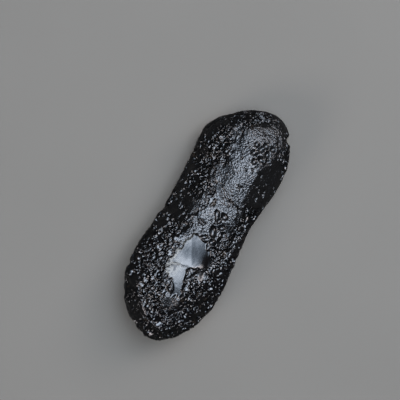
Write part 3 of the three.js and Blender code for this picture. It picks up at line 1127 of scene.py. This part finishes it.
@dataclass(frozen=True)
class TektiteGlass:
    """Black glass, etched to satin on the crest and glossy in the window and in the cups.

    Sizes, heights and depths are in millimetres.
    """

    black: Colour = (0.0008, 0.0008, 0.001, 1)
    clay_and_warm_reflection: Colour = (0.05, 0.036, 0.024, 1)  # a trace of soil in the cups, and partly a painted warm reflection
    frost: Colour = (0.13, 0.126, 0.112, 1)  # crushed glass, painted pale as a highlight where the edge catches the light
    refraction: float = 1.5
    # Roughness of the etched skin, the window and the cups.
    satin: float = 0.24
    gloss: float = 0.2
    cup_gloss: float = 0.1
    # What is added to it where the skin is worn or crushed, and from grain to grain.
    worn_roughness: float = 0.1
    frost_roughness: float = 0.3
    grain_roughness: float = 0.08
    # Etching: grains, and fine pores whose places are moved by noise of a size and a reach.
    grain_size: float = 0.7
    grain_detail: float = 1.0
    grain_height: float = 0.16
    fine_size: float = 0.5
    fine_depth: float = 0.12
    fine_bend: tuple[float, float] = (0.8, 0.35)
    # Wider pores, in patches among the cups.
    pore_size: float = 1.15
    pore_depth: float = 0.9
    pore_bend: tuple[float, float] = (2.4, 1.6)
    pore_patch_size: float = 3.2
    pore_patches: Span = (0.38, 0.6)
    # Faint waves in the window.
    mottle_size: float = 1.0
    mottle_height: float = 0.03
    # Soil and a painted warm reflection, in patches inside the cups.
    clay_reflection_patch_size: float = 2.5
    clay_reflection_patches: Span = (0.62, 0.78)
    clay_reflection_share: float = 0.35
    crushed_highlight_grains: Span = (0.35, 0.6)  # which grains are painted white where the glass is crushed, as a painted highlight

    def material(self) -> bpy.types.Material:
        """Builds the finish.

        Pores are small cups side by side: their floor rises with the squared distance to the
        nearest of scattered points. Fine ones lie where the skin is etched, and wider ones where
        there are cups.

        Returns:
            A material that reads the skin's gloss, cup, cover, etched, worn and frost.
        """
        shading = Shading("tektite_glass")
        place = shading.add("ShaderNodeTexCoord", {}, {}).outputs["Object"]
        gloss = shading.attribute("gloss")
        cup = shading.attribute("cup")
        cover = shading.attribute("cover")
        etched = shading.attribute("etched")
        frost = shading.attribute("frost")
        grain = shading.noise(place, self.grain_size, self.grain_detail)
        fine = shading.spacing(shading.bent(place, *self.fine_bend), self.fine_size)
        wide = shading.spacing(shading.bent(place, *self.pore_bend), self.pore_size)
        patches = shading.noise(place, self.pore_patch_size).step(*self.pore_patches)
        etching = etched * (grain * self.grain_height + fine * fine * self.fine_depth)
        height = (1 - gloss) * (etching + cover * patches * wide * wide * self.pore_depth)
        height = height + gloss * shading.noise(place, self.mottle_size) * self.mottle_height
        bump = shading.add("ShaderNodeBump", {}, {"Strength": 1.0, "Distance": METRES, "Height": height})
        roughness = self.satin + (self.cup_gloss - self.satin) * cover
        roughness = roughness + (self.gloss - roughness) * gloss + self.grain_roughness * (grain - 0.5)
        roughness = roughness + shading.attribute("worn") * self.worn_roughness
        # Brown in the cups: soil, and partly a painted warm reflection.
        soil_and_reflection = shading.noise(place, self.clay_reflection_patch_size).step(*self.clay_reflection_patches)
        colour = shading.mixed_colour(cup * soil_and_reflection * self.clay_reflection_share, self.black, self.clay_and_warm_reflection)
        # Crushed glass is painted pale: rough crushed glass, and a painted highlight where the window's edge
        # catches the light.
        crushed_and_highlight = frost * grain.step(*self.crushed_highlight_grains)
        return shading.finish({
            "Base Color": shading.mixed_colour(crushed_and_highlight, colour, self.frost),
            "Roughness": roughness + frost * self.frost_roughness,
            "IOR": self.refraction,
            "Normal": bump.outputs["Normal"],
        })


@dataclass(frozen=True)
class FloorPaint:
    """Matt, warm grey paint, a little uneven."""

    grey: float = 0.1
    tint: tuple[float, float, float] = (1.08, 1.0, 0.87)  # shares of the grey
    unevenness: float = 0.05  # to each side
    cloud_size: float = 60.0
    roughness: float = 0.85
    specular: float = 0.2

    def material(self) -> bpy.types.Material:
        """Builds the finish.

        Returns:
            A material between two shades of the grey.
        """
        shading = Shading("floor_paint")
        place = shading.add("ShaderNodeTexCoord", {}, {}).outputs["Object"]
        light, dark = (
            tuple(self.grey * (1 + side * self.unevenness) * share for share in self.tint) + (1,)
            for side in (1, -1)
        )
        return shading.finish({
            "Base Color": shading.mixed_colour(shading.noise(place, self.cloud_size), dark, light),
            "Roughness": self.roughness,
            "Specular IOR Level": self.specular,
        })


# --- The stone ------------------------------------------------------------------------------


@dataclass(frozen=True)
class Tektite:
    """The pitted skin of the stone."""

    form: Form = Form()
    grid: BallGrid = BallGrid()
    crest: Crest = Crest()
    window: Window = Window()
    knolls: Waves = Waves(count=18, longest=7, shortest=1.8, steepness=0.017, phase_step=2.1)
    warp: Waves = Waves(count=14, longest=3.6, shortest=1.2, steepness=0.04, phase_step=1.3)
    dishes: CupFamilies = CupFamilies(
        count=260, members=3, smallest=1.05, largest=2.1, younger=0.75, overlap=0.8,
        shallowest=0.28, deepest=0.45, stretch=1.35, jitter=0.35, wall_radius=1.5,
    )
    cups: PackedCups = PackedCups(
        tried=12000, smallest=0.42, largest=0.95, rarity=1.4, closeness=0.62, shallowest=0.6,
        deepest=1.15, stretch=1.6, wall_radius=1.05, slim_share=0.75, seed=1000,
    )
    patches: Sequence[CupPatch] = (
        # Few cups: on the slim lobe and at the waist, and then on the fat lobe.
        CupPatch(19, -9.5, 9, 5, 0.1), CupPatch(0.5, 9.5, 5.5, 4, 0.28), CupPatch(4, 5.8, 4, 2.2, 0.15),
        CupPatch(-6, 11.6, 3, 2, 0.2), CupPatch(15, 5.2, 4, 2, 0.12),
        CupPatch(-25, 10, 3, 2.4, 0.3), CupPatch(-33, 5.5, 4, 4, 0.35), CupPatch(-25.9, -2.6, 2.9, 3.6, 0.08),
        # All cups.
        CupPatch(32.5, 4.7, 4, 5, 1), CupPatch(24, 8.2, 5.5, 3.6, 1), CupPatch(10.5, 9, 4, 2.8, 1),
        CupPatch(3.5, -11, 5, 3, 1),
        # Few beside the window.
        CupPatch(-14, -7, 2, 2, 0.1),
    )
    dimples: Sequence[Dimple] = (Dimple(-26.8, -2.2, 3.0, 0.65), Dimple(-9.8, -7.3, 2.0, 0.5))
    # Waves whose highs are flocks of cups on the slim lobe, and the height of a full flock.
    flocks: Waves = Waves(count=8, longest=16, shortest=6, steepness=0.02, phase_step=0.9)
    flock_height: float = 0.25
    slim_cover: float = 0.2  # share of the cups between the flocks
    crest_cover: float = 0.04
    window_margin: float = 0.5  # scattered cups keep this far from the window
    floor_margin: float = 0.4  # and this far from the floor
    cup_floor: Span = (0.05, 0.4)  # depth from plain skin to the inside of a cup
    calm_knolls: float = 0.25  # height of the knolls where there are no cups
    knolls_in_window: float = 0.06
    side_relief: float = 0.32  # depth of the relief where the skin stands upright
    upright: Span = (0.6, 0.95)  # 1 minus the upward share of the way the skin faces
    etching_among_cups: float = 0.2  # depth of the etching as a share of the crest's
    etching_between_cups: float = 1.5  # the same where cups are few
    fat_etching: float = 0.5  # the share of that on the fat lobe
    known_cup_rim: Span = (0, 0.3)  # depth in the cups that stand out, where the etching ends
    worn_tip: Span = (25.0, 31.0)  # along the stone, where the slim tip's dull skin begins
    worn_etching: float = 1.4
    glass: TektiteGlass = TektiteGlass()

    def cover(self, points: Array, normals: Array) -> Array:
        """Share of the cups that stay at each place.

        Args:
            points: Places on the smooth skin.
            normals: The way it faces there.

        Returns:
            1 on the fat lobe and in the flocks of the slim one, less between the flocks, on the
            crest and on quiet patches, 0 in the window and where the stone rests.
        """
        slim = smooth_step(points[:, 0], *SLIM_LOBE)
        flocks = smooth_step(self.flocks.height(points), -self.flock_height, self.flock_height)
        cover = 1 - slim * (1 - self.slim_cover - (1 - self.slim_cover) * flocks)
        for patch in self.patches:
            cover = np.where(normals[:, 2] > 0, patch.cover(points, cover), cover)
        cover = cover * (1 - (1 - self.crest_cover) * self.crest.share(points, normals))
        cover = np.where(self.window.inside(points, normals) > -self.window_margin, 0, cover)
        return np.where(points[:, 2] < self.floor_margin, 0, cover)

    def sparse(self, cups: Cups, draw: Draw) -> Cups:
        """Leaves out cups by chance where the cover is thin."""
        chance = scatter(np.arange(len(cups.centres)), draw)
        return cups.keep(chance < self.cover(cups.centres, cups.axes))

    def wear(self, points: Array, cover: Array, crest: Array, bare: Array) -> tuple[Array, Array]:
        """How the skin between the cups is etched and worn.

        Args:
            points: Places on the smooth skin.
            cover: Share of the cups that stay at each place.
            crest: How much each place belongs to the crest.
            bare: How much it belongs to the window.

        Returns:
            Depth of the etching as a share of the crest's, which is least among the cups, and how
            dull the skin is, from 0 to 1.
        """
        slim = smooth_step(points[:, 0], *SLIM_LOBE)
        tip = smooth_step(points[:, 0], *self.worn_tip)
        few = (1 - cover) * (1 - crest) * (1 - bare) * (self.fat_etching + (1 - self.fat_etching) * slim)
        etched = self.etching_among_cups + (self.etching_between_cups - self.etching_among_cups) * few
        return np.maximum(np.maximum(crest, etched), self.worn_etching * tip), np.maximum(tip, few)

    def relief(self, points: Array, normals: Array) -> dict[str, Array]:
        """Everything that is sunk into the smooth skin, and what the finish has to know of it.

        Cups lie in dishes, so their depths are added, while cups of one kind meet in sharp
        crests where the deeper one wins.

        Args:
            points: Places on the smooth skin.
            normals: The way it faces there.

        Returns:
            The total depth, and the gloss, cup, cover, etched, worn and frost (crushed
            glass with a painted highlight) of each place.
        """
        inside = self.window.inside(points, normals)
        bare = smooth_step(inside, *self.window.edge)
        cover = self.cover(points, normals)
        bent = self.warp.bent(points)
        known = known_cups(self.form, self.cups.wall_radius).depth_under(points)
        cups = self.sparse(self.cups.build(self.form), Draw.KEEPING_A_CUP).depth_under(bent)
        dishes = self.sparse(self.dishes.build(self.form), Draw.KEEPING_A_DISH).depth_under(bent)
        share = 1 - (1 - self.side_relief) * smooth_step(1 - np.abs(normals[:, 2]), *self.upright)
        pitted = np.maximum(known, (dishes + cups) * share) * (1 - bare)
        hollow = self.window.hollow(points, inside)
        broken = self.window.depth_under(points, inside)
        crack = self.window.crack_share(points, normals)
        lively = self.calm_knolls + (1 - self.calm_knolls) * cover
        lively = lively * (1 - (1 - self.knolls_in_window) * bare)
        knolls = self.knolls.height(points) * lively * share
        dents = self.crest.ledge(points, normals)
        dents = dents + sum(dimple.depth_under(points, normals) for dimple in self.dimples)
        etched, worn = self.wear(points, cover, self.crest.share(points, normals), bare)
        return {
            "depth": pitted + hollow + broken + self.window.crack_depth * crack + dents - knolls,
            "gloss": np.clip(bare * (1 - crack), 0, 1),
            "cup": smooth_step(pitted, *self.cup_floor),
            "cover": cover,
            "etched": etched * (1 - smooth_step(known, *self.known_cup_rim)),
            "worn": worn,
            # Crushed glass and its painted highlight along the window's border.
            "frost": self.window.frost(points, inside),
        }

    def surface(self) -> tuple[Array, Array, dict[str, Array]]:
        """The skin as a grid.

        Each place is the smooth skin minus the relief's depth along the way the skin faces, and
        the floor cuts off what would lie below it. The whole is then fitted to the solid's box.

        Returns:
            Places in metres, the corner numbers of the cells, and the relief.
        """
        directions, cells = self.grid.build()
        smooth = self.form.skin(directions)
        normals = skin_normals(smooth, cells)
        relief = self.relief(smooth, normals)
        points = smooth - relief["depth"][:, None] * normals
        points[:, 2] = np.maximum(points[:, 2], 0)
        low, high = (np.array(corner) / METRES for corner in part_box(NODE))
        own_low, own_high = points.min(axis=0), points.max(axis=0)
        points = low + (points - own_low) * (high - low) / (own_high - own_low)
        return points * METRES, cells, relief

    def build(self) -> bpy.types.Object:
        """Makes the skin's mesh, dresses it and puts it in the place of the solid.

        Returns:
            The finished piece.
        """
        points, cells, relief = self.surface()
        mesh = bpy.data.meshes.new("tektite_skin")
        mesh.vertices.add(len(points))
        mesh.vertices.foreach_set("co", points.ravel())
        mesh.loops.add(cells.size)
        mesh.loops.foreach_set("vertex_index", cells.ravel())
        mesh.polygons.add(len(cells))
        mesh.polygons.foreach_set("loop_start", np.arange(len(cells)) * 4)
        mesh.polygons.foreach_set("use_smooth", np.ones(len(cells), bool))
        for name in ("gloss", "cup", "cover", "etched", "worn", "frost"):
            mesh.attributes.new(name, "FLOAT", "POINT").data.foreach_set("value", relief[name])
        mesh.update(calc_edges=True)
        mesh.validate()
        mesh.materials.append(self.glass.material())
        piece = bpy.data.objects.new("tektite_skin", mesh)
        bpy.context.scene.collection.objects.link(piece)
        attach(piece, "root")
        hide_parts(NODE)
        LOG.info("tektite_skin: %d corners, %d cells", len(points), len(cells))
        return piece


# --- The studio -----------------------------------------------------------------------------


@dataclass(frozen=True)
class Softbox:
    """A soft light panel that faces the stone, its length along the stone."""

    name: str
    tilt_along: float  # degrees from straight up, towards +X
    tilt_across: float  # degrees from straight up, towards +Y
    distance: float  # in metres, as its length and width
    length: float
    width: float
    radiance: float
    colour: tuple[float, float, float]

    def build(self) -> bpy.types.Object:
        """Makes the light.

        Returns:
            The light, its power worked out as radiance * area * pi.
        """
        light = bpy.data.lights.new(self.name, "AREA")
        light.shape = "RECTANGLE"
        light.size = self.length
        light.size_y = self.width
        light.color = self.colour
        light.energy = self.radiance * self.length * self.width * math.pi
        away = Vector((
            math.tan(math.radians(self.tilt_along)), math.tan(math.radians(self.tilt_across)), 1.0,
        )).normalized()
        ahead = (Vector((1, 0, 0)) - away.x * away).normalized()
        panel = bpy.data.objects.new(self.name, light)
        turned = Matrix((ahead, away.cross(ahead), away)).transposed().to_4x4()
        panel.matrix_world = Matrix.Translation(away * self.distance) @ turned
        panel.visible_camera = False
        bpy.context.scene.collection.objects.link(panel)
        return panel


@dataclass(frozen=True)
class Studio:
    """Floor, lights, surroundings and camera, in metres."""

    paint: FloorPaint = FloorPaint()
    floor_size: float = 8.0
    surround: float = 0.09  # grey of the room that the stone mirrors
    backdrop: float = 0.32  # grey that the camera sees past the floor
    softboxes: Sequence[Softbox] = (
        Softbox("overhead_core", 13, -5, 0.86, 0.68, 0.36, 9.2, (0.84, 0.9, 1.0)),
        Softbox("overhead_middle", 13, -5, 0.9, 0.78, 0.66, 3.8, (0.68, 0.81, 1.0)),
        Softbox("overhead_wide", 13, -5, 0.94, 0.88, 1.08, 2.3, (0.6, 0.77, 1.0)),
        Softbox("fat_end_lamp", -45, 25, 0.9, 0.36, 0.36, 11.0, (1.0, 0.94, 0.96)),
        Softbox("slim_end_lamp", 45, -25, 0.9, 0.36, 0.36, 12.0, (1.0, 0.94, 0.96)),
    )
    camera_turn: float = -60.72  # degrees round the vertical
    camera_height: float = 0.45
    camera_right: float = -0.00169  # of the stone's middle, as the camera sees it
    camera_up: float = 0.00688
    lens: float = 129.2
    nearest: float = 0.01  # what the camera can see

    def build_floor(self) -> bpy.types.Object:
        """A square floor under the stone, of one cell, which the stone doesn't mirror.

        Returns:
            The floor.
        """
        half = self.floor_size / 2
        corners = [(-half, -half, 0), (half, -half, 0), (half, half, 0), (-half, half, 0)]
        mesh = bpy.data.meshes.new("floor")
        mesh.from_pydata(corners, [], [(0, 1, 2, 3)])
        mesh.materials.append(self.paint.material())
        floor = bpy.data.objects.new("floor", mesh)
        bpy.context.scene.collection.objects.link(floor)
        floor.visible_glossy = False
        return floor

    def build_surroundings(self) -> None:
        """A dim room that the stone mirrors, and a grey backdrop that only the camera sees."""
        world = bpy.data.worlds.new("studio")
        world.use_nodes = True
        nodes, links = world.node_tree.nodes, world.node_tree.links
        nodes.clear()
        path = nodes.new("ShaderNodeLightPath")
        room, backdrop = nodes.new("ShaderNodeBackground"), nodes.new("ShaderNodeBackground")
        room.inputs["Color"].default_value = (self.surround,) * 3 + (1,)
        backdrop.inputs["Color"].default_value = (self.backdrop,) * 3 + (1,)
        mix = nodes.new("ShaderNodeMixShader")
        output = nodes.new("ShaderNodeOutputWorld")
        links.new(path.outputs["Is Camera Ray"], mix.inputs["Fac"])
        links.new(room.outputs["Background"], mix.inputs[1])
        links.new(backdrop.outputs["Background"], mix.inputs[2])
        links.new(mix.outputs["Shader"], output.inputs["Surface"])
        bpy.context.scene.world = world

    def build_camera(self) -> bpy.types.Object:
        """Looks straight down, with the stone's slim lobe towards the upper right.

        Returns:
            The camera, which is also made the scene's.
        """
        lens = bpy.data.cameras.new("camera")
        lens.lens = self.lens
        lens.clip_start = self.nearest
        camera = bpy.data.objects.new("camera", lens)
        turned = Matrix.Rotation(math.radians(self.camera_turn), 4, "Z")
        offset = Vector((self.camera_right, self.camera_up, self.camera_height))
        camera.matrix_world = turned @ Matrix.Translation(offset)
        bpy.context.scene.collection.objects.link(camera)
        bpy.context.scene.camera = camera
        return camera

    def build(self) -> None:
        """Builds the whole studio."""
        self.build_floor()
        self.build_surroundings()
        for softbox in self.softboxes:
            softbox.build()
            LOG.info("%s: %.2f m2", softbox.name, softbox.length * softbox.width)
        self.build_camera()
        bpy.context.scene.view_settings.view_transform = "Standard"


def main() -> None:
    """Builds the stone and its studio."""
    logging.basicConfig(level=logging.INFO, format="%(message)s")
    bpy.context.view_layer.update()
    Tektite().build()
    Studio().build()


if __name__ == "__main__":
    main()
